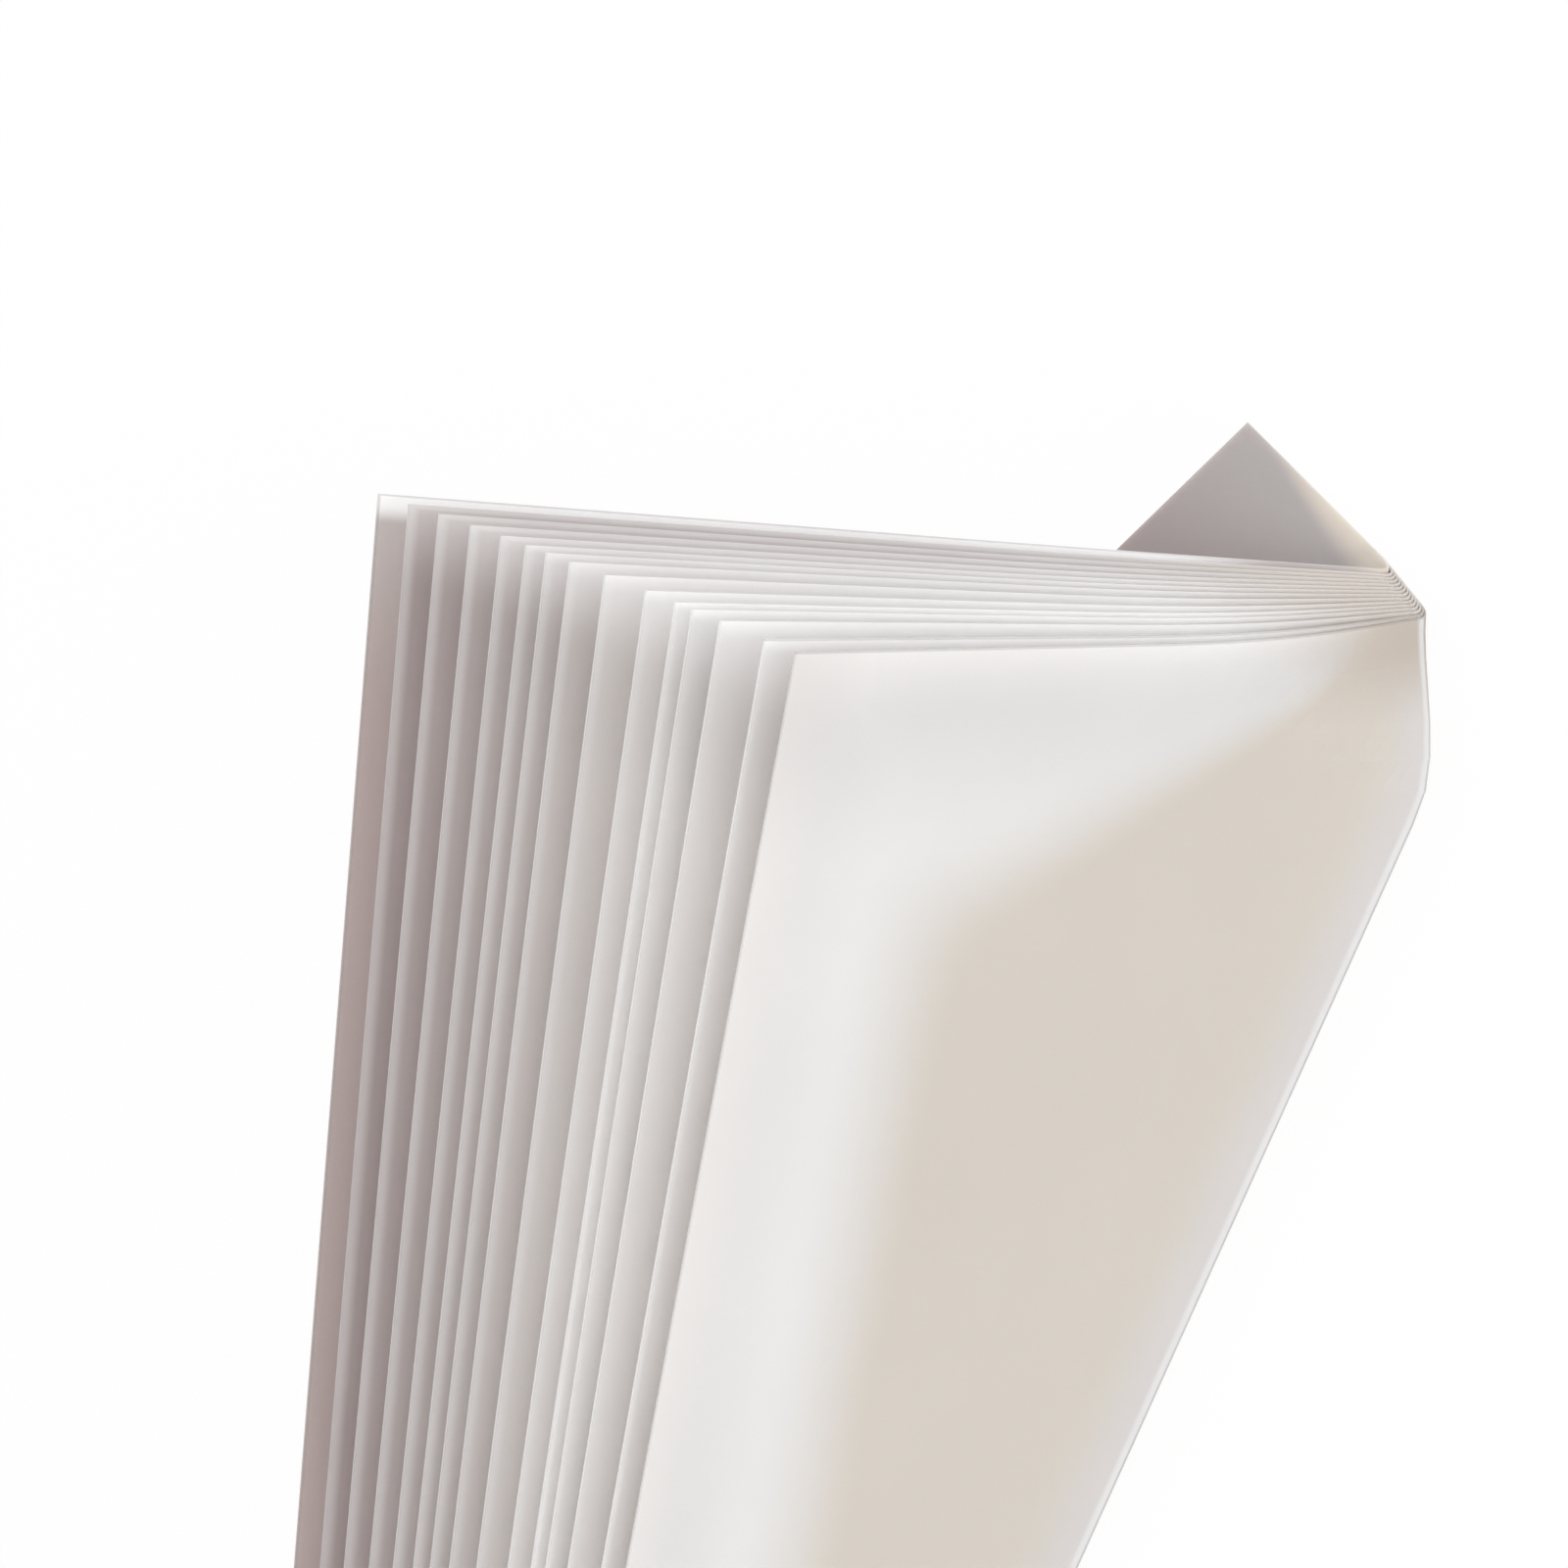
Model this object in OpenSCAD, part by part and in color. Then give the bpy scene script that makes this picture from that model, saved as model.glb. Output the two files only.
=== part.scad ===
// Pad of translucent film notes, lying on its bound side.
// The stack is folded back over itself about a slanted line, and its free
// leaves fan out above the bound side.

/* [Leaves] */
// Width of a leaf, from the bound edge to the free edge
leaf_w = 76; // [64:1:100]
// Height of a leaf, along the bound edge
leaf_h = 76; // [50:1:110]
// Number of leaves in the fan
leaf_n = 14; // [8:1:18]
// Thickness of one leaf
leaf_t = 0.12; // [0.1:0.01:0.14]
// Air between neighbouring leaves where they leave the glued block
leaf_air = 0.06; // [0.05:0.01:0.08]

/* [Backing sheet] */
// Thickness of the backing sheet inside the fold
backing_t = 0.2; // [0.1:0.01:0.3]
// Air between the backing sheet and the innermost leaf
backing_gap = 0.08; // [0.06:0.01:0.2]
// Angle between the backing sheet and the innermost leaf
backing_split = 2.6; // [1:0.1:6]

/* [Fold] */
// Angle between the fold line and the bound edge
fold_skew = 21.2; // [8:0.1:26]
// Distance from the bound corner to the fold line, along the top edge
fold_at = 9.5; // [8:0.5:16]
// Inner radius of the fold where the top edge pinches it
pinch_r = 2.4; // [1.6:0.1:3]
// Length over which the pinch opens into the full fold
pinch_len = 14; // [12:1:24]
// Inner radius of the full fold
fold_r = 3.5; // [3.2:0.1:5]
// How far the full fold bulges past the pinch
bulge = 3.8; // [1:0.2:5]

/* [Fan] */
// Rise of the innermost leaf above the bound side
fan_low = 32.5; // [26:0.5:36]
// Rise of the outermost leaf above the bound side
fan_high = 59.2; // [52:0.1:68]
// How far the leaves crowd together, as a share of the whole fan
fan_uneven = 0.033; // [0:0.001:0.035]
// Leaves in the first group that crowds together
fan_group = 7.3; // [6:0.1:12]
// How much tighter each next group is
fan_chirp = 1.5; // [1:0.05:1.5]
// Bow of a leaf at its free edge
leaf_bow = 0.2; // [0:0.1:2]

/* [Placing] */
// Turn of the fold line from the Y axis
fold_turn = 25; // [0:1:45]
// Width of the glued strip along the bound edge
glue_w = 12; // [6:1:16]

/* [Hidden] */

leaf_pitch = leaf_t + leaf_air;
stack_t = leaf_n * leaf_pitch - leaf_air;
// Length along a leaf from the pinch to the point that sets its rise
rise_len = 0.85 * (leaf_w - fold_at);
// The least length of a leaf that goes round the fold
least_fold = 0.6;

// Divisions of the surfaces: rows down a leaf, steps round the fold, steps to the free edge
rows = 18;
fold_steps = 12;
free_steps = 6;
// How much the rows gather at the top edge, and the steps at the fold
row_gather = 1.4;
step_gather = 1.8;

function ease(x) = let(c = min(1, max(0, x))) c * c * (3 - 2 * c);

// Rise of each leaf: even steps as seen from above, crowded and opened in groups
function crowding(k) = fan_uneven * sin(360 * pow(k / fan_group, fan_chirp));
function leaf_share(k) = let(even = k / (leaf_n - 1)) even * (1 - crowding(leaf_n - 1)) + crowding(k);
function leaf_rise(k) =
    acos(cos(fan_low) - (cos(fan_low) - cos(fan_high)) * leaf_share(k));

// A point of the flat leaf as [across the fold line, along the fold line]
function flat_point(u, v) =
    [(u - fold_at) * cos(fold_skew) - v * sin(fold_skew),
     -(u - fold_at) * sin(fold_skew) - v * cos(fold_skew)];

// The distance from the bound edge at which row v reaches q across the fold line
function reach(q, v) = fold_at + (q + v * sin(fold_skew)) / cos(fold_skew);

// Share of the pinch that has opened at the distance p along the fold line
function opened(p) = ease(-p / pinch_len);
function fold_radius(p) = pinch_r + (fold_r - pinch_r) * opened(p);
function fold_start(p) = bulge * opened(p);

// The point that sets the rise of a face at the offset off, in the section across the fold
function rise_point(off, rise) =
    let(r = pinch_r + off)
    [r * sin(rise) - rise_len * cos(rise),
     stack_t + pinch_r + r * cos(rise) + rise_len * sin(rise)];
function rise_q(off, rise) = (pinch_r + off) * (180 - rise) * PI / 180 + rise_len;

// Where a face leaves the fold: [angle round the fold, length of the straight part]
function leave(off, rise, p) =
    let(r = fold_radius(p) + off,
        d = rise_point(off, rise) - [fold_start(p), stack_t + fold_radius(p)],
        far = norm(d))
    [90 + atan2(d[1], d[0]) - acos(r / far), sqrt(far * far - r * r)];

// Length of the leaf that goes round the fold, and the way it has to cover there
function fold_q(off, rise, p) = max(least_fold, rise_q(off, rise) - leave(off, rise, p)[1]);
function fold_way(off, turn, p) = fold_start(p) + (fold_radius(p) + off) * turn * PI / 180;

// Section across the fold: q is measured along the face, off from the inside of the stack
function section(q, off, rise, p) =
    let(start = fold_start(p),
        radius = fold_radius(p),
        r = radius + off,
        end = leave(off, rise, p),
        q_end = fold_q(off, rise, p),
        way = fold_way(off, end[0], p) * q / q_end,
        turn = (way - start) / r * 180 / PI)
    q <= 0 ? [q, stack_t - off]
    : q < q_end && way < start ? [way, stack_t - off]
    : q < q_end ? [start + r * sin(turn), stack_t + radius - r * cos(turn)]
    :
        let(tip = [start + r * sin(end[0]), stack_t + radius - r * cos(end[0])],
            along = (rise_point(off, rise) - tip) / end[1],
            bow = leaf_bow * pow((q - q_end) / end[1], 2))
        tip + along * (q - q_end) + bow * [-along[1], along[0]];

// The middle of the glued strip is the origin
glue_centre = flat_point(glue_w / 2, leaf_h / 2);

// A point of a face, placed in the frame of the part
function face_point(u, v, off, rise) =
    let(flat = flat_point(u, v),
        s = section(flat[0], off, rise, flat[1]),
        x = s[0] - glue_centre[0],
        y = flat[1] - glue_centre[1])
    [x * cos(fold_turn) + y * sin(fold_turn), y * cos(fold_turn) - x * sin(fold_turn), s[1]];

// The distance q at which row v of a face has turned by an angle round the fold,
// found by closing in on the place p along the fold line where that happens
function place(q, v) = -q * tan(fold_skew) - v / cos(fold_skew);
function turned_q(v, off, rise, turn, q = 0, tries = 7) =
    let(p = place(q, v),
        share = min(1, fold_way(off, turn, p) / fold_way(off, leave(off, rise, p)[0], p)))
    tries == 0 ? q : turned_q(v, off, rise, turn, share * fold_q(off, rise, p), tries - 1);
function fold_point(v, off, rise, turn) = face_point(reach(turned_q(v, off, rise, turn), v), v, off, rise);

// The angle round the fold at which row v of a face leaves it
function leave_angle(v, off, rise) = leave(off, rise, place(turned_q(v, off, rise, 360), v))[0];

// The free part of a face in row v, from where the leaf leaves the fold to its free edge
function free_points(v, off, rise, near) =
    let(u1 = reach(turned_q(v, near, rise, 360), v), free = leaf_w - u1)
    concat(
        [fold_point(v, off, rise, 360)],
        [for (i = [1 : free_steps]) face_point(u1 + free * pow(i / free_steps, step_gather), v, off, rise)]);

function reverse(list) = [for (i = [len(list) - 1 : -1 : 0]) list[i]];
function row_v(j) = leaf_h * pow(j / rows, row_gather);

// One leaf in the loop of row v: out along its outer face, back along its inner face,
// then the far side of the slot that parts it from the next leaf inwards
function leaf_loop(k, v) =
    let(near = k * leaf_pitch, rise = leaf_rise(k), below = k > 0 ? leaf_rise(k - 1) : 0)
    concat(
        free_points(v, near + leaf_t, rise, near),
        reverse(free_points(v, near, rise, near)),
        k == 0 ? [] : [fold_point(v, near - leaf_air, below, leave_angle(v, near, rise))]);

// The comb section in row v: under side of the block, the leaves from the outermost inwards,
// and the inner side of the fold back to the bound edge
function block_turn(v) = leave_angle(v, leaf_pitch * (leaf_n - 1), fan_high);
function under_side(v) =
    concat(
        [face_point(0, v, stack_t, fan_high)],
        [for (i = [0 : fold_steps - 1]) fold_point(v, stack_t, fan_high, block_turn(v) * i / fold_steps)]);
function inner_side(v) =
    concat(
        [for (k = [1 : leaf_n - 1]) fold_point(v, 0, fan_low, leave_angle(v, k * leaf_pitch, leaf_rise(k)))],
        [for (i = [fold_steps - 1 : -1 : 0]) fold_point(v, 0, fan_low, block_turn(v) * i / fold_steps)],
        [face_point(0, v, 0, fan_low)]);
function stack_loop(v) =
    concat(under_side(v), [for (k = [leaf_n - 1 : -1 : 0]) each leaf_loop(k, v)], inner_side(v));

// Places in the loop: where leaf k starts, and the inner side of the fold beside its slot
leaf_points = 2 * free_steps + 3;
function leaf_start(k) = fold_steps + 1 + (leaf_n - 1 - k) * leaf_points;
inner_start = leaf_start(0) + leaf_points - 1;
loop_n = inner_start + leaf_n + fold_steps;
function beside(k) = k == 0 ? inner_start - 1 : inner_start + k - 1;

// Triangles between two neighbouring loops of n points each; on the way back towards
// the fold each pair is cut along its other diagonal, so that both faces of a leaf match
function skin(n, j, back) =
    [for (i = [0 : n - 1])
        let(a = j * n + i, b = j * n + (i + 1) % n)
        each back[i] ? [[a, a + n, b], [b, a + n, b + n]] : [[a, b + n, b], [a, a + n, b + n]]];

function flip(list) = [for (f = list) [f[0], f[2], f[1]]];
function shift(list, n) = [for (f = list) [f[0] + n, f[1] + n, f[2] + n]];

// A strip of triangles between the points from a onwards and the points from b backwards
function strip(a, b, steps) =
    [for (i = [0 : steps - 1]) each [[a + i, a + i + 1, b - i - 1], [a + i, b - i - 1, b - i]]];

// The end of the comb: the block round the fold, each leaf, and the roots of the leaves
function comb_end() =
    concat(
        strip(0, loop_n - 1, fold_steps),
        [for (k = [0 : leaf_n - 1])
            each strip(leaf_start(k), leaf_start(k) + 2 * free_steps + 1, free_steps)],
        let(top = leaf_start(leaf_n - 1),
            root = top + 2 * free_steps + 1,
            inner = beside(leaf_n - 1),
            around = [top, root, root + 1, inner, inner + 1])
            [for (i = [0 : 3]) [fold_steps, around[i], around[i + 1]]],
        [for (k = [leaf_n - 1 : -1 : 1])
            let(slot = leaf_start(k) + leaf_points - 1,
                root = leaf_start(k - 1) + 2 * free_steps + 1,
                around = k > 1 ? [slot, slot + 1, root, root + 1, beside(k - 1)] : [slot, slot + 1, root])
            each [for (i = [0 : len(around) - 2]) [beside(k), around[i], around[i + 1]]]]);

// The points of the loop at which it runs back towards the fold or the bound edge
function runs_back(i) =
    let(past = i - leaf_start(leaf_n - 1))
    i >= inner_start || (past >= 0 && past % leaf_points > free_steps);

module film_leaves() {
    back = [for (i = [0 : loop_n - 1]) runs_back(i)];
    points = [for (j = [0 : rows]) each stack_loop(row_v(j))];
    faces = concat(
        [for (j = [0 : rows - 1]) each skin(loop_n, j, back)],
        comb_end(),
        shift(flip(comb_end()), rows * loop_n));
    color("whitesmoke") polyhedron(points, faces);
}

// One loose sheet between two offsets, from the bound edge to the free edge
backing_rise = fan_low - backing_split;
function sheet_face(v, off, near) =
    let(turn = leave_angle(v, near, backing_rise))
    concat(
        [face_point(0, v, off, backing_rise)],
        [for (i = [0 : fold_steps - 1]) fold_point(v, off, backing_rise, turn * i / fold_steps)],
        free_points(v, off, backing_rise, near));
function sheet_loop(v) =
    let(near = -backing_gap - backing_t)
    concat(sheet_face(v, -backing_gap, near), reverse(sheet_face(v, near, near)));

module backing_sheet() {
    n = len(sheet_loop(0));
    back = [for (i = [0 : n - 1]) i >= n / 2];
    points = [for (j = [0 : rows]) each sheet_loop(row_v(j))];
    ends = strip(0, n - 1, n / 2 - 1);
    faces = concat([for (j = [0 : rows - 1]) each skin(n, j, back)], ends, shift(flip(ends), rows * n));
    color("darkgray") polyhedron(points, faces);
}

film_leaves();
backing_sheet();
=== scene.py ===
"""Pad of translucent film notes: the bound side lies on the desk, the stack turns over
at a slanted fold, and the free leaves fan out above it. Lengths are in metres."""
import math

import bpy
import numpy as np
from bpy.props import FloatProperty, FloatVectorProperty, IntProperty, PointerProperty
from mathutils import Matrix, Vector


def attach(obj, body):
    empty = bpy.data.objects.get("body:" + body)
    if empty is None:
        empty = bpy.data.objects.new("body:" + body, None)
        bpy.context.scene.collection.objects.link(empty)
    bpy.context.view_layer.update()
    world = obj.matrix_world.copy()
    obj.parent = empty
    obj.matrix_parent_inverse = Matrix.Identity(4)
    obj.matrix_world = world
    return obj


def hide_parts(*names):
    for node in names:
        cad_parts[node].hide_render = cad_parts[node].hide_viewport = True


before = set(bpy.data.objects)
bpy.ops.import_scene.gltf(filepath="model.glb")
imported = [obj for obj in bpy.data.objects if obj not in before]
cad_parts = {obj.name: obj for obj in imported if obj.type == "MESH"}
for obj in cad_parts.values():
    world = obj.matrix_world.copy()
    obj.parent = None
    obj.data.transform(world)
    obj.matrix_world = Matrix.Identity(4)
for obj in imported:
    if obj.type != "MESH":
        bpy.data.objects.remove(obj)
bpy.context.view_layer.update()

bl_info = {
    "name": "Film Note Pad",
    "version": (1, 0, 0),
    "blender": (4, 5, 0),
    "location": "3D View > Sidebar > Note Pad",
    "description": "Builds a folded pad of translucent film notes with its leaves fanned out",
    "category": "Add Mesh",
}


# Points of each mesh: along a leaf on the flat side, round the fold and on the free part, and
# rows from the top edge down
COLUMNS = {"flat_n": 3, "round_n": 22, "free_n": 22, "rows": 34}
ROW_CROWDING = 1.25
FREE_CROWDING = 1.2
SETTLING_STEPS = 8
LEAST_ROUND = 0.0006
RISE_SHARE = 0.85
MERGE_DISTANCE = 1e-6


def length(name, default, description):
    return FloatProperty(name=name, default=default, min=0, unit="LENGTH", subtype="DISTANCE",
                         precision=5, description=description)


def turn(name, degrees, description):
    return FloatProperty(name=name, default=math.radians(degrees), subtype="ANGLE", description=description)


def colour(name, default, description):
    return FloatVectorProperty(name=name, default=default, size=3, min=0, max=1, subtype="COLOR",
                               description=description)


class PadSizes(bpy.types.PropertyGroup):
    leaf_w: length("Leaf width", 0.076, "From the bound edge to the free edge")
    leaf_h: length("Leaf height", 0.076, "Along the bound edge")
    leaf_n: IntProperty(name="Leaves", default=14, min=3, description="Leaves in the fan")
    leaf_t: length("Leaf thickness", 0.00012, "Film and the adhesive on it")
    leaf_air: length("Leaf air", 0.00006, "Air between two leaves in the fold")
    # The release sheet is painted grey as shade
    backing_t: length("Backing thickness", 0.0002, "Grey release sheet inside the fold")
    backing_gap: length("Backing gap", 0.00008, "Air between the release sheet and the innermost leaf")
    backing_split: turn("Backing split", 2.6, "Angle between the release sheet and the innermost leaf")
    glue_w: length("Glued strip", 0.012, "Width of the strip along the bound edge")


class FoldSizes(bpy.types.PropertyGroup):
    skew: turn("Fold skew", 21.2, "Angle between the fold line and the bound edge")
    at: length("Fold distance", 0.0095, "From the bound corner to the fold line, along the top edge")
    pinch_r: length("Pinch radius", 0.0024, "Inner radius at the top edge")
    pinch_len: length("Pinch length", 0.014, "Over which the pinch opens into the full fold")
    radius: length("Fold radius", 0.0035, "Inner radius of the full fold")
    bulge: length("Bulge", 0.0038, "How far the full fold passes the pinch")
    low: turn("Lowest rise", 32.5, "Rise of the innermost leaf")
    high: turn("Highest rise", 59.2, "Rise of the outermost leaf")
    bow: FloatProperty(name="Bow", default=0.0002, unit="LENGTH", subtype="DISTANCE", precision=5,
                       description="How far the free edge of a leaf droops")
    turned: turn("Fold turn", 25, "Turn of the fold line from the Y axis")
    uneven: FloatProperty(name="Unevenness", default=0.033, min=0, subtype="FACTOR",
                          description="How far leaves crowd together, as a share of the whole fan")
    group: FloatProperty(name="Group", default=7.3, min=1, description="Leaves in the first crowded group")
    tightening: FloatProperty(name="Tightening", default=1.5, min=1,
                              description="How much closer each next group is")


class PadColours(bpy.types.PropertyGroup):
    # Film colours from the innermost to the outermost leaf: painted shade, greyer and darker low in the fan,
    # where less light reaches the leaves under the others
    inner: colour("Inner film", (0.40, 0.33, 0.32), "Innermost leaf, against the grey sheet")
    lower: colour("Lower film", (0.53, 0.47, 0.455), "Film a fifth of the way up the fan")
    middle: colour("Middle film", (0.745, 0.69, 0.665), "Film in the middle of the fan")
    upper: colour("Upper film", (0.965, 0.935, 0.915), "Film of the leaves under the outermost one")
    outer: colour("Outer film", (0.965, 0.92, 0.895), "Film of the outermost leaf")
    # Painted shade: a cream tone where the fan turns away from the light over the fold, also painted on the
    # release sheet where the film curls up beside it
    warm_shade: colour("Warm film", (0.73, 0.632, 0.54), "Film over the fold, where the leaves lie close together")
    # Painted shade, lighter and pinker, where the film bends down over the fold
    bend_shade: colour("Cool film", (0.755, 0.685, 0.655), "Film where it bends down over the fold")
    pale: colour("Pale film", (0.96, 0.94, 0.94), "Film along the top edge, where light gets in")
    # Painted shade: darker brown at the pinch, where every leaf turns over tightly
    turn: colour("Turned film", (0.55, 0.455, 0.38), "Film at the pinch, where every leaf turns over")
    # Painted highlight: lighter free and top edges of the leaves behind the front one
    edge: colour("Cut edge", (0.90, 0.885, 0.875), "Bright free edge of a leaf")
    # Painted shade: a fine dark line along the outline of the fold and along the top edge
    line: colour("Outline shade", (0.24, 0.22, 0.21), "Fine dark line along the bend and along the top edge")
    top_shade: colour("Top shade", (0.12, 0.11, 0.11), "Mixed in thinly towards the top edge")
    border_shade: colour("Border shade", (0.16, 0.14, 0.14), "Mixed in thinly at the front leaf's borders")
    cut_shade: colour("Cut shade", (0.25, 0.24, 0.235), "Mixed in thinly on the cut faces of the free edges")
    # Painted shade: the release sheet is painted grey, lighter at its corner and darker away from it
    backing: colour("Release sheet", (0.43, 0.39, 0.385), "Grey release sheet at its corner")
    shaded: colour("Shaded sheet", (0.38, 0.315, 0.31), "Grey release sheet away from its corner")
    floor: colour("Floor", (0.86, 0.86, 0.86), "Pale studio floor")


# The fold: q runs along a leaf across the fold line, p along the fold line
def row_places(rows, height):
    """Distances of the rows from the top edge, closer together near it."""
    return np.linspace(0, 1, rows) ** ROW_CROWDING * height


class Fold:
    def __init__(self, pad, fold):
        self.pad, self.fold = pad, fold
        self.pitch = pad.leaf_t + pad.leaf_air
        self.stack = pad.leaf_n * self.pitch - pad.leaf_air
        self.rise_len = RISE_SHARE * (pad.leaf_w - fold.at)

    def flat(self, u, v):
        c, s = math.cos(self.fold.skew), math.sin(self.fold.skew)
        return (u - self.fold.at) * c - v * s, -(u - self.fold.at) * s - v * c

    def reach(self, q, v):
        return self.fold.at + (q + v * math.sin(self.fold.skew)) / math.cos(self.fold.skew)

    def opened(self, p):
        x = np.clip(-p / self.fold.pinch_len, 0, 1)
        return x * x * (3 - 2 * x)

    def radius(self, p):
        return self.fold.pinch_r + (self.fold.radius - self.fold.pinch_r) * self.opened(p)

    def start(self, p):
        return self.fold.bulge * self.opened(p)

    def rise_point(self, off, rise):
        r = self.fold.pinch_r + off
        return (r * math.sin(rise) - self.rise_len * math.cos(rise),
                self.stack + self.fold.pinch_r + r * math.cos(rise) + self.rise_len * math.sin(rise))

    def leave(self, off, rise, p):
        """Angle at which a face leaves the fold, and the length of its straight part."""
        r = self.radius(p) + off
        x, z = self.rise_point(off, rise)
        dx, dz = x - self.start(p), z - self.stack - self.radius(p)
        far = np.hypot(dx, dz)
        return math.pi / 2 + np.arctan2(dz, dx) - np.arccos(r / far), np.sqrt(far * far - r * r)

    def round_q(self, off, rise, p):
        whole = (self.fold.pinch_r + off) * (math.pi - rise) + self.rise_len
        return np.maximum(LEAST_ROUND, whole - self.leave(off, rise, p)[1])

    def section(self, q, off, rise, p):
        start, inner = self.start(p), self.radius(p)
        r, q_end = inner + off, self.round_q(off, rise, p)
        angle, straight = self.leave(off, rise, p)
        way = (start + r * angle) * q / q_end
        a = (way - start) / r
        tip = start + r * np.sin(angle), self.stack + inner - r * np.cos(angle)
        x, z = self.rise_point(off, rise)
        along = (x - tip[0]) / straight, (z - tip[1]) / straight
        bow = self.fold.bow * ((q - q_end) / straight) ** 2
        where = [q <= 0, (q < q_end) & (way < start), q < q_end]
        free_x = tip[0] + along[0] * (q - q_end) - along[1] * bow
        free_z = tip[1] + along[1] * (q - q_end) + along[0] * bow
        flat_z = self.stack - off + 0 * q
        return (np.select(where, [q, way, start + r * np.sin(a)], free_x),
                np.select(where, [flat_z, flat_z, self.stack + inner - r * np.cos(a)], free_z))

    def place(self, q, v, off, rise):
        """A point of a face in the frame of the part."""
        p = -q * math.tan(self.fold.skew) - v / math.cos(self.fold.skew)
        x, z = self.section(q, off, rise, p)
        q0, p0 = self.flat(self.pad.glue_w / 2, self.pad.leaf_h / 2)
        x, y = x - q0, p - p0
        c, s = math.cos(self.fold.turned), math.sin(self.fold.turned)
        return np.stack([x * c + y * s, y * c - x * s, z], -1)

    def face(self, off, rise, flat_n, round_n, free_n, rows):
        """Points of a face as rows by columns: flat side, round the fold, free part. Also how far
        each lies from the bound edge, and how far past the outermost line of the fold."""
        out, us, past = [], [], []
        for v in row_places(rows, self.pad.leaf_h):
            q_bound = self.flat(0, v)[0]
            q = list(q_bound * (1 - np.arange(flat_n) / flat_n))
            way = list(q)
            for i in range(round_n + 1):
                x = 0.0
                for _ in range(SETTLING_STEPS):
                    p = -x * math.tan(self.fold.skew) - v / math.cos(self.fold.skew)
                    angle = self.leave(off, rise, p)[0]
                    whole = self.start(p) + (self.radius(p) + off) * angle
                    part = self.start(p) + (self.radius(p) + off) * angle * i / round_n
                    x = float(part / whole * self.round_q(off, rise, p))
                q.append(x)
                way.append(float(part))
            free_part = self.flat(self.pad.leaf_w, v)[0] - q[-1]
            free = free_part * (np.arange(1, free_n + 1) / free_n) ** FREE_CROWDING
            half_turn = self.start(p) + (self.radius(p) + off) * math.pi / 2
            past.append(np.array(way + list(way[-1] + free)) - half_turn)
            q = np.array(q + list(q[-1] + free))
            out.append(self.place(q, v, off, rise))
            us.append(self.reach(q, v))
        return np.array(out), np.array(us), np.array(past)


# Node trees
def node(tree, kind, inputs=None, **settings):
    """Adds a node, sets it, and joins or fills its inputs."""
    made = tree.nodes.new(kind)
    for key, value in settings.items():
        setattr(made, key, value)
    for key, value in (inputs or {}).items():
        if isinstance(value, bpy.types.NodeSocket):
            tree.links.new(value, made.inputs[key])
        else:
            made.inputs[key].default_value = value
    return made


def calc(tree, operation, *values):
    return node(tree, "ShaderNodeMath", dict(enumerate(values)), operation=operation).outputs[0]


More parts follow.
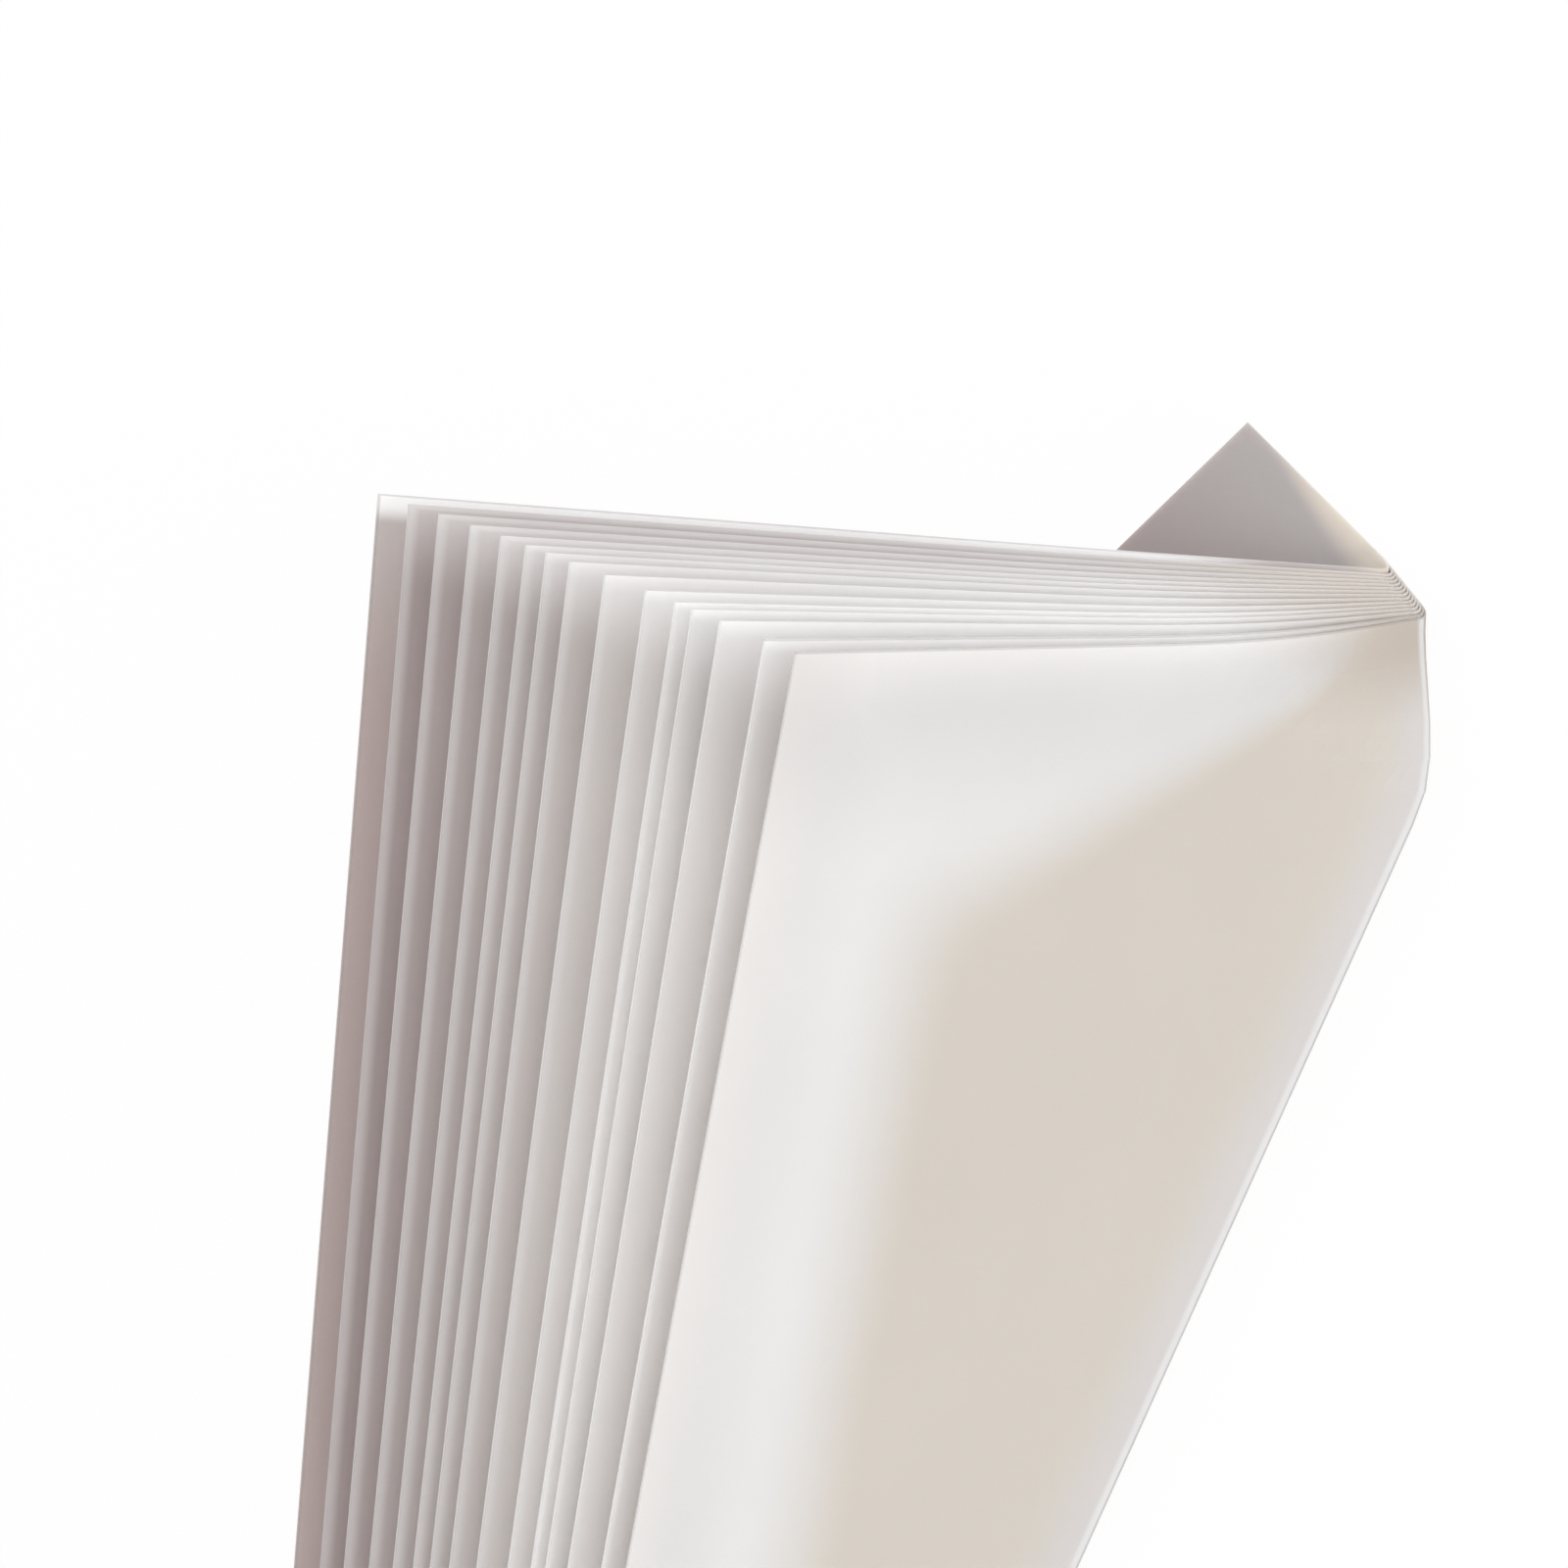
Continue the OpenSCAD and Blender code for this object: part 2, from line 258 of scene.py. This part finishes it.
def fan_tree():
    """Repeats one leaf through the fan. The leaf carries its places at both ends and the
    middle of the fan, for the nearest and the farthest layer of the fold."""
    tree = bpy.data.node_groups.new("FanOfLeaves", "GeometryNodeTree")
    face = tree.interface
    face.new_socket("Geometry", in_out="INPUT", socket_type="NodeSocketGeometry")
    for name, kind, default in (
            ("Leaves", "NodeSocketInt", 14),
            ("Thickness", "NodeSocketFloat", 0.00012),
            ("Unevenness", "NodeSocketFloat", 0.033),
            ("Group", "NodeSocketFloat", 7.3),
            ("Tightening", "NodeSocketFloat", 1.5),
            ("Material", "NodeSocketMaterial", None)):
        socket = face.new_socket(name, in_out="INPUT", socket_type=kind)
        if default is not None:
            socket.default_value = default
    face.new_socket("Geometry", in_out="OUTPUT", socket_type="NodeSocketGeometry")
    given = tree.nodes.new("NodeGroupInput").outputs
    last = calc(tree, "MAXIMUM", calc(tree, "SUBTRACT", given["Leaves"], 1.0), 1.0)

    line = node(tree, "GeometryNodeMeshLine", {"Count": given["Leaves"], "Offset": (0, 0, 0)})
    index = tree.nodes.new("GeometryNodeInputIndex").outputs[0]
    numbered = node(tree, "GeometryNodeStoreNamedAttribute",
                    {"Geometry": line.outputs[0], "Name": "leaf", "Value": index},
                    data_type="FLOAT", domain="POINT")
    copies = node(tree, "GeometryNodeInstanceOnPoints",
                  {"Points": numbered.outputs[0], "Instance": given["Geometry"]})
    leaves = node(tree, "GeometryNodeRealizeInstances", {"Geometry": copies.outputs[0]}).outputs[0]

    def crowding(k):
        phase = calc(tree, "POWER", calc(tree, "DIVIDE", k, given["Group"]), given["Tightening"])
        wave = calc(tree, "SINE", calc(tree, "MULTIPLY", phase, math.tau))
        return calc(tree, "MULTIPLY", given["Unevenness"], wave)

    leaf = node(tree, "GeometryNodeInputNamedAttribute", {"Name": "leaf"}, data_type="FLOAT").outputs[0]
    layer = calc(tree, "DIVIDE", leaf, last)
    share = calc(tree, "ADD", crowding(leaf),
                 calc(tree, "MULTIPLY", layer, calc(tree, "SUBTRACT", 1.0, crowding(last))))
    back = calc(tree, "SUBTRACT", 1.0, share)
    twice = calc(tree, "SUBTRACT", calc(tree, "MULTIPLY", share, 2.0), 1.0)
    weights = (calc(tree, "MULTIPLY", calc(tree, "MULTIPLY", back, twice), -1.0),
               calc(tree, "MULTIPLY", calc(tree, "MULTIPLY", share, back), 4.0),
               calc(tree, "MULTIPLY", share, twice))
    place = None
    for name, weight in zip(("low", "middle", "high"), weights):
        near, far = (node(tree, "GeometryNodeInputNamedAttribute", {"Name": name + end},
                          data_type="FLOAT_VECTOR").outputs[0] for end in ("_near", "_far"))
        mix = node(tree, "ShaderNodeMix", {0: layer, 4: near, 5: far}, data_type="VECTOR",
                   clamp_factor=False).outputs[1]
        part = node(tree, "ShaderNodeVectorMath", {0: mix, 3: weight}, operation="SCALE").outputs[0]
        place = part if place is None else node(tree, "ShaderNodeVectorMath", {0: place, 1: part},
                                                operation="ADD").outputs[0]
    moved = node(tree, "GeometryNodeSetPosition", {"Geometry": leaves, "Position": place}).outputs[0]
    shared = node(tree, "GeometryNodeStoreNamedAttribute",
                  {"Geometry": moved, "Name": "share", "Value": layer},
                  data_type="FLOAT", domain="POINT").outputs[0]

    thick = node(tree, "GeometryNodeExtrudeMesh",
                 {"Mesh": shared, "Offset Scale": given["Thickness"], "Individual": False},
                 mode="FACES").outputs
    under = node(tree, "GeometryNodeFlipFaces", {"Mesh": shared}).outputs[0]
    crisp = node(tree, "GeometryNodeSetShadeSmooth",
                 {"Geometry": thick["Mesh"], "Selection": thick["Side"], "Shade Smooth": False}).outputs[0]
    both = node(tree, "GeometryNodeJoinGeometry", {"Geometry": crisp})
    tree.links.new(under, both.inputs["Geometry"])
    closed = node(tree, "GeometryNodeMergeByDistance",
                  {"Geometry": both.outputs[0], "Distance": MERGE_DISTANCE}).outputs[0]
    real = node(tree, "GeometryNodeRealizeInstances", {"Geometry": closed}).outputs[0]
    painted = node(tree, "GeometryNodeSetMaterial",
                   {"Geometry": real, "Material": given["Material"]}).outputs[0]
    node(tree, "NodeGroupOutput", {0: painted})
    return tree


def through_tree(mesh, tree, name, **values):
    """Runs a mesh through a tree and keeps the result as a plain mesh object."""
    rough = bpy.data.objects.new(name + "_rough", mesh)
    bpy.context.collection.objects.link(rough)
    modifier = rough.modifiers.new("Tree", "NODES")
    modifier.node_group = tree
    for item in tree.interface.items_tree:
        if item.in_out == "INPUT" and item.name in values:
            modifier[item.identifier] = values[item.name]
    graph = bpy.context.evaluated_depsgraph_get()
    made = bpy.data.meshes.new_from_object(rough.evaluated_get(graph), depsgraph=graph)
    rough.modifiers.clear()
    bpy.data.objects.remove(rough)
    piece = bpy.data.objects.new(name, made)
    bpy.context.collection.objects.link(piece)
    return piece


def leaf_mesh(name, faces, us, past, leaf_w, leaf_h):
    """A grid mesh at the first face, with every face as an attribute, its UV map, and how far
    each point lies from the free edge, from the top edge and past the outermost line of the fold."""
    n_rows, n_cols = us.shape
    ids = np.arange(n_rows * n_cols).reshape(n_rows, n_cols)
    quads = np.stack([ids[:-1, :-1], ids[1:, :-1], ids[1:, 1:], ids[:-1, 1:]], -1).reshape(-1, 4)
    first = next(iter(faces.values()))
    mesh = bpy.data.meshes.new(name)
    mesh.from_pydata(first.reshape(-1, 3).tolist(), [], quads.tolist())
    for key, points in faces.items():
        mesh.attributes.new(key, "FLOAT_VECTOR", "POINT").data.foreach_set("vector", points.ravel())
    vs = np.repeat(row_places(n_rows, leaf_h), n_cols)
    for key, measure in (("from_free", leaf_w - us.ravel()), ("from_top", vs), ("past_fold", past.ravel())):
        mesh.attributes.new(key, "FLOAT", "POINT").data.foreach_set("value", measure)
    uv = np.stack([us.ravel() / leaf_w, vs / leaf_h], -1)[[v for p in mesh.polygons for v in p.vertices]]
    mesh.uv_layers.new(name="UVMap").data.foreach_set("uv", uv.ravel())
    return mesh


# Finishes
# Every pair of numbers is where a smooth change starts and ends. Those with FREE are metres from the
# free edge, with TOP from the top edge, with BOUND from the bound edge, and with FOLD past the
# outermost line of the fold. Those with SHARE are a leaf's place in the fan, from 0 to 1.
FRONT_SHARE = (0.93, 0.99)
FRONT_TWO_SHARE = (0.84, 0.9)
SHADE_TOP = (0.003, 0.012)
WARM_SHADE_START_FREE = 0.0126
WARM_SHADE_END_FREE = 0.051
WARM_SHADE_SLOPE = 0.37
WARM_SHADE_CORNER = 0.006
WARM_SHADE_SOFTNESS = 0.13
LEAST_SOFTNESS = 0.001
BEND_SHADE_FOLD = (0.002, 0.009)
BORDER_FREE = (-0.004, 0.0095)
BORDER_TOP = (0.0025, 0.006)
BORDER_TOP_FREE = (0.016, 0.028)
PALE_TOP = (0.0, 0.0045)
PINCH_SHADE_FREE = (0.034, 0.055)
PINCH_SHADE_TOP = (0.001, 0.006)
EDGE_HIGHLIGHT_FREE = (0.0002, 0.0007)
EDGE_HIGHLIGHT_TOP = (0.00012, 0.00035)
CUT_FREE = (0.00001, 0.00008)
OUTLINE_SHADE_FOLD = ((-0.0012, -0.0004), (0.0008, 0.0015))
OUTLINE_SHADE_TOP = (0.00007, 0.00014)
GLINT_FOLD = ((0.001, 0.0016), (0.0020, 0.0028))
SHEET_SHADE_TOP = (0.0, 0.012)
SHEET_CURL_SLOPE = (0.04, 0.24)
SHEET_CURL_BOUND = ((0.001, 0.008), (0.012, 0.018))
SHEET_FREE = (0.045, 0.055)
SHEET_BORDER_TOP = (0.0005, 0.0016)
SHEET_EDGE_FREE = (0.00008, 0.00016)
SHEET_EDGE_TOP = (0.00006, 0.00013)


def blend(tree, share, first, second, kind="MIX"):
    """A colour between two others; a share or colour may be a socket."""
    return node(tree, "ShaderNodeMix", {0: share, 6: first, 7: second}, data_type="RGBA",
                blend_type=kind).outputs[2]


class Finish:
    """A frosted material whose colour is built up in steps from a leaf's own measures: its place in
    the fan, and how far a point lies from the free edge, from the top edge and past the fold."""

    def __init__(self, name):
        self.material = bpy.data.materials.new(name)
        self.material.use_nodes = True
        self.tree = self.material.node_tree
        self.share, self.from_free, self.from_top, self.past_fold = (
            node(self.tree, "ShaderNodeAttribute", attribute_name=key).outputs["Fac"]
            for key in ("share", "from_free", "from_top", "past_fold"))
        self.colour = None

    def calc(self, operation, *values):
        return calc(self.tree, operation, *values)

    def times(self, product, *others):
        for other in others:
            product = self.calc("MULTIPLY", product, other)
        return product

    def without(self, share):
        return self.calc("SUBTRACT", 1.0, share)

    def fade(self, measure, span, first=1.0, last=0.0):
        """A smooth change from first to last over a span of a measure."""
        return node(self.tree, "ShaderNodeMapRange", {0: measure, 1: span[0], 2: span[1], 3: first, 4: last},
                    interpolation_type="SMOOTHSTEP").outputs[0]

    def rise(self, measure, span):
        return self.fade(measure, span, 0.0, 1.0)

    def band(self, measure, spans):
        """Full between two spans and nothing outside them."""
        return self.times(self.rise(measure, spans[0]), self.fade(measure, spans[1]))

    def tint(self, share, colour):
        self.colour = blend(self.tree, share, self.colour, (*colour, 1))

    def frost(self, rough, grain):
        """Fine grain, a slow ripple and a soft glow under the surface."""
        tree = self.tree
        shader = tree.nodes["Principled BSDF"].inputs
        place = node(tree, "ShaderNodeTexCoord").outputs["Object"]
        noises = ({"Vector": place, "Scale": 60.0, "Detail": 2.0},
                  {"Vector": place, "Scale": 2600.0, "Detail": 3.0})
        cloud, fibre = (node(tree, "ShaderNodeTexNoise", noise).outputs["Fac"] for noise in noises)
        patchy = node(tree, "ShaderNodeMapRange", {0: cloud, 1: 0.3, 2: 0.7, 3: 0.985, 4: 1.015}).outputs[0]
        uneven = node(tree, "ShaderNodeMapRange", {0: fibre, 3: rough - 0.06, 4: rough + 0.08}).outputs[0]
        height = self.calc("ADD", self.times(fibre, grain), self.times(cloud, 0.0004))
        bump = node(tree, "ShaderNodeBump", {"Height": height, "Strength": 0.5, "Distance": 1.0}).outputs[0]
        tree.links.new(blend(tree, 1.0, self.colour, patchy, "MULTIPLY"), shader["Base Color"])
        tree.links.new(uneven, shader["Roughness"])
        tree.links.new(bump, shader["Normal"])
        shader["Specular IOR Level"].default_value = 0.3
        shader["Subsurface Weight"].default_value = 0.5
        shader["Subsurface Radius"].default_value = (1.0, 0.9, 0.85)
        shader["Subsurface Scale"].default_value = 0.0015
        return self.material


def film_finish(tints):
    """Frosted film with light and shade painted into its colour: painted shade, grey and pink, low in the
    fan where less light reaches the leaves under the others, white at the top of it, and a cream painted
    shade towards the fold.
    """
    film = Finish("frosted_film")
    # Painted shade by place in the fan: the leaves low in the fan are darker
    ramp = node(film.tree, "ShaderNodeValToRGB", {"Fac": film.share})
    stops = ramp.color_ramp.elements
    for place, tint in ((0.2, tints.lower), (0.5, tints.middle), (0.7, tints.upper)):
        stops.new(place).color = (*tint, 1)
    stops[0].color, stops[-1].color = (*tints.inner, 1), (*tints.outer, 1)
    film.colour = ramp.outputs["Color"]
    front = film.rise(film.share, FRONT_SHARE)
    behind = film.without(front)
    film.tint(film.times(film.fade(film.from_top, SHADE_TOP), 0.16), tints.top_shade)

    # Painted shade: a cream tone over the part of each leaf away from its free and top edges, towards the
    # fold
    before_pinch = film.calc("SUBTRACT", WARM_SHADE_END_FREE, film.from_free)
    past_free = film.calc("SUBTRACT", film.from_free, WARM_SHADE_START_FREE)
    past_top = film.calc("SUBTRACT", film.from_top, film.times(before_pinch, WARM_SHADE_SLOPE))
    inside = film.calc("SMOOTH_MIN", past_free, past_top, WARM_SHADE_CORNER)
    softness = film.calc("MAXIMUM", film.times(before_pinch, WARM_SHADE_SOFTNESS), LEAST_SOFTNESS)
    warm_shade_mask = film.times(film.rise(film.calc("DIVIDE", inside, softness), (-1.0, 1.0)), film.share)
    film.tint(warm_shade_mask, tints.warm_shade)
    # Painted shade, lighter and pinker, where the film bends down over the fold
    film.tint(film.times(warm_shade_mask, film.fade(film.past_fold, BEND_SHADE_FOLD)), tints.bend_shade)

    top_border = film.times(film.fade(film.from_top, BORDER_TOP, 0.07),
                            film.fade(film.from_free, BORDER_TOP_FREE))
    border = film.calc("MAXIMUM", film.fade(film.from_free, BORDER_FREE, 0.34), top_border)
    film.tint(film.times(border, front), tints.border_shade)

    # Painted light along the top edge of the leaves behind the front one
    paleness = film.calc("ADD", 0.22, film.times(film.share, 0.75))
    by_top = film.times(film.fade(film.from_top, PALE_TOP), paleness, behind, film.without(warm_shade_mask))
    film.tint(by_top, tints.pale)
    # Painted shade at the pinch, where every leaf turns over
    pinch_shade = film.times(film.rise(film.from_free, PINCH_SHADE_FREE), film.fade(film.from_top, PINCH_SHADE_TOP))
    film.tint(pinch_shade, tints.turn)

    # Painted highlight on the free and top edges of the leaves behind the front one
    edge = film.calc("MAXIMUM", film.fade(film.from_free, EDGE_HIGHLIGHT_FREE), film.fade(film.from_top, EDGE_HIGHLIGHT_TOP))
    film.tint(film.times(edge, behind, 0.3), tints.edge)
    film.tint(film.fade(film.from_free, CUT_FREE, 0.25), tints.cut_shade)

    film.tint(film.times(film.band(film.past_fold, GLINT_FOLD), front, 0.6), tints.pale)
    # Painted shade: a fine dark line along the outline of the fold on the front leaf, and along the top edge
    # of the two outermost leaves
    outline_shade = film.times(film.band(film.past_fold, OUTLINE_SHADE_FOLD), front)
    top_line = film.times(film.fade(film.from_top, OUTLINE_SHADE_TOP), film.rise(film.share, FRONT_TWO_SHARE))
    film.tint(film.times(film.calc("MAXIMUM", outline_shade, top_line), 0.5), tints.line)
    return film.frost(0.46, 0.000012)


def sheet_finish(tints, leaf_w):
    """Release sheet painted grey as shade, a little lighter at its corner; cream where the film curls up
    beside it at the pinch, a white border of painted light along the top of its free side, and a thin
    painted dark line along the edges of its free side."""
    sheet = Finish("release_sheet")
    sheet.colour = (*tints.backing, 1)
    # Painted shade: darker away from the corner at the top edge
    sheet.tint(sheet.rise(sheet.from_top, SHEET_SHADE_TOP), tints.shaded)

    from_bound = sheet.calc("MAXIMUM", sheet.calc("SUBTRACT", leaf_w, sheet.from_free), 0.0001)
    slope = sheet.calc("DIVIDE", sheet.from_top, from_bound)
    # The film's cream painted shade, where the film curls up beside the sheet at the pinch
    curl = sheet.times(sheet.fade(slope, SHEET_CURL_SLOPE), sheet.band(from_bound, SHEET_CURL_BOUND))
    sheet.tint(curl, tints.warm_shade)

    # Painted light: a white border along the top of the free side
    free_side = sheet.fade(sheet.from_free, SHEET_FREE)
    sheet.tint(sheet.times(sheet.fade(sheet.from_top, SHEET_BORDER_TOP), free_side), tints.pale)
    # Painted shade: a thin dark line along the free and top edges of the free side
    edge = sheet.calc("MAXIMUM", sheet.fade(sheet.from_free, SHEET_EDGE_FREE),
                      sheet.fade(sheet.from_top, SHEET_EDGE_TOP))
    sheet.tint(sheet.times(edge, free_side, 0.5), tints.line)
    return sheet.frost(0.5, 0.00002)


# Share of the floor's white that the camera and mirrored light see
SEEN_WHITE = 0.95


def floor_finish(tint):
    """Pale floor that the camera sees as white, and that keeps the object's shadow."""
    material = bpy.data.materials.new("studio_floor")
    material.use_nodes = True
    tree = material.node_tree
    tree.nodes.clear()
    matt = node(tree, "ShaderNodeBsdfDiffuse", {"Color": (*tint, 1)}).outputs[0]
    glow = node(tree, "ShaderNodeEmission", {"Color": (1, 1, 1, 1), "Strength": 1.0}).outputs[0]
    path = node(tree, "ShaderNodeLightPath").outputs
    seen = calc(tree, "MAXIMUM", path["Is Camera Ray"], path["Is Glossy Ray"])
    seen = calc(tree, "MAXIMUM", seen, path["Is Transmission Ray"])
    share = calc(tree, "MULTIPLY", seen, SEEN_WHITE)
    mix = node(tree, "ShaderNodeMixShader", {0: share, 1: matt, 2: glow}).outputs[0]
    node(tree, "ShaderNodeOutputMaterial", {"Surface": mix})
    return material


# Studio: lamps with their place, size and power, and the camera's view of the part
LAMPS = {"key": ((0.62, -0.14, 0.26), 0.35, 1.6), "top": ((-0.2, 0.15, 0.75), 0.5, 2.6)}
LAMP_AIM = (0, -0.01, 0.02)
SKY_STRENGTH = 0.73
FLOOR_HALF = 3
FLOOR_DROP = 0.00002
LENS_MM, SENSOR_MM = 112.5, 36
ELEVATION, AZIMUTH, ROLL = (math.radians(a) for a in (83.7, -33.9, -34.35))
BACK, ASIDE, UPWARD = 0.29091, -0.00449, 0.00964


# Operators
class PAD_OT_film_leaves(bpy.types.Operator):
    """Makes the leaves of film, from the bound side round the fold to the fanned free edges"""
    bl_idname = "pad.film_leaves"
    bl_label = "Film Leaves"

    def execute(self, context):
        pad, bend, tints = context.scene.pad_sizes, context.scene.fold_sizes, context.scene.pad_colours
        fold = Fold(pad, bend)
        far = (pad.leaf_n - 1) * fold.pitch
        middle = math.acos((math.cos(bend.low) + math.cos(bend.high)) / 2)
        faces = {}
        for name, rise in (("low", bend.low), ("middle", middle), ("high", bend.high)):
            for end, off in (("_near", 0.0), ("_far", far)):
                faces[name + end], us, past = fold.face(off, rise, **COLUMNS)
        rough = leaf_mesh("leaf", faces, us, past, pad.leaf_w, pad.leaf_h)
        film = film_finish(tints)
        piece = through_tree(rough, fan_tree(), "fanned_film", Leaves=pad.leaf_n, Thickness=pad.leaf_t,
                             Unevenness=bend.uneven, Group=bend.group, Tightening=bend.tightening,
                             Material=film)
        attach(piece, "root")
        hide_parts("film_leaves")
        return {"FINISHED"}


class PAD_OT_backing_sheet(bpy.types.Operator):
    """Makes the release sheet that lies inside the fold, painted grey as shade"""
    bl_idname = "pad.backing_sheet"
    bl_label = "Backing Sheet"

    def execute(self, context):
        pad, bend, tints = context.scene.pad_sizes, context.scene.fold_sizes, context.scene.pad_colours
        fold = Fold(pad, bend)
        face, us, past = fold.face(-pad.backing_gap - pad.backing_t, bend.low - pad.backing_split, **COLUMNS)
        faces = {name + end: face for name in ("low", "middle", "high") for end in ("_near", "_far")}
        rough = leaf_mesh("sheet", faces, us, past, pad.leaf_w, pad.leaf_h)
        paper = sheet_finish(tints, pad.leaf_w)
        tree = bpy.data.node_groups.get("FanOfLeaves") or fan_tree()
        piece = through_tree(rough, tree, "release_sheet", Leaves=1, Thickness=pad.backing_t, Material=paper)
        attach(piece, "root")
        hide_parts("backing_sheet")
        return {"FINISHED"}


class PAD_OT_studio(bpy.types.Operator):
    """Makes the floor, the soft lights and the camera"""
    bl_idname = "pad.studio"
    bl_label = "Studio"

    def execute(self, context):
        mesh = bpy.data.meshes.new("floor")
        corners = [(x * FLOOR_HALF, y * FLOOR_HALF, -FLOOR_DROP)
                   for x, y in ((-1, -1), (1, -1), (1, 1), (-1, 1))]
        mesh.from_pydata(corners, [], [(0, 1, 2, 3)])
        floor = bpy.data.objects.new("floor", mesh)
        floor.data.materials.append(floor_finish(context.scene.pad_colours.floor))
        context.collection.objects.link(floor)

        world = bpy.data.worlds.new("studio")
        world.use_nodes = True
        sky = world.node_tree.nodes["Background"].inputs
        sky["Color"].default_value = (1, 1, 1, 1)
        sky["Strength"].default_value = SKY_STRENGTH
        context.scene.world = world
        for name, (spot, size, power) in LAMPS.items():
            lamp = bpy.data.lights.new(name, "AREA")
            lamp.shape = "DISK"
            lamp.size = size
            lamp.energy = power
            light = bpy.data.objects.new(name, lamp)
            light.location = spot
            light.rotation_euler = (Vector(LAMP_AIM) - Vector(spot)).to_track_quat("-Z", "Y").to_euler()
            context.collection.objects.link(light)

        camera = bpy.data.objects.new("camera", bpy.data.cameras.new("camera"))
        camera.data.lens = LENS_MM
        camera.data.sensor_width = SENSOR_MM
        camera.data.clip_start = 0.01
        camera.data.clip_end = 10
        away = Vector((math.sin(AZIMUTH) * math.cos(ELEVATION), math.cos(AZIMUTH) * math.cos(ELEVATION),
                       -math.sin(ELEVATION)))
        right = Vector((math.cos(AZIMUTH), -math.sin(AZIMUTH), 0))
        up = right.cross(away)
        side = right * math.cos(ROLL) + up * math.sin(ROLL)
        top = up * math.cos(ROLL) - right * math.sin(ROLL)
        camera.matrix_world = Matrix((side, top, -away)).transposed().to_4x4()
        camera.location = -away * BACK + side * ASIDE + top * UPWARD
        context.collection.objects.link(camera)
        context.scene.camera = camera
        context.scene.view_settings.view_transform = "Standard"
        return {"FINISHED"}


class PAD_PT_panel(bpy.types.Panel):
    """Lists the pad's pieces, sizes and colours"""
    bl_idname = "PAD_PT_panel"
    bl_label = "Film Note Pad"
    bl_space_type = "VIEW_3D"
    bl_region_type = "UI"
    bl_category = "Note Pad"

    def draw(self, context):
        for kind in OPERATORS:
            self.layout.operator(kind.bl_idname)
        for group in (context.scene.pad_sizes, context.scene.fold_sizes, context.scene.pad_colours):
            box = self.layout.box()
            for key in group.__annotations__:
                box.prop(group, key)


OPERATORS = (PAD_OT_film_leaves, PAD_OT_backing_sheet, PAD_OT_studio)
GROUPS = {"pad_sizes": PadSizes, "fold_sizes": FoldSizes, "pad_colours": PadColours}


def register():
    for kind in (*GROUPS.values(), *OPERATORS, PAD_PT_panel):
        bpy.utils.register_class(kind)
    for key, kind in GROUPS.items():
        setattr(bpy.types.Scene, key, PointerProperty(type=kind))


def unregister():
    for key in GROUPS:
        delattr(bpy.types.Scene, key)
    for kind in reversed((*GROUPS.values(), *OPERATORS, PAD_PT_panel)):
        bpy.utils.unregister_class(kind)


def main():
    register()
    bpy.ops.pad.film_leaves()
    bpy.ops.pad.backing_sheet()
    bpy.ops.pad.studio()


if __name__ == "__main__":
    main()
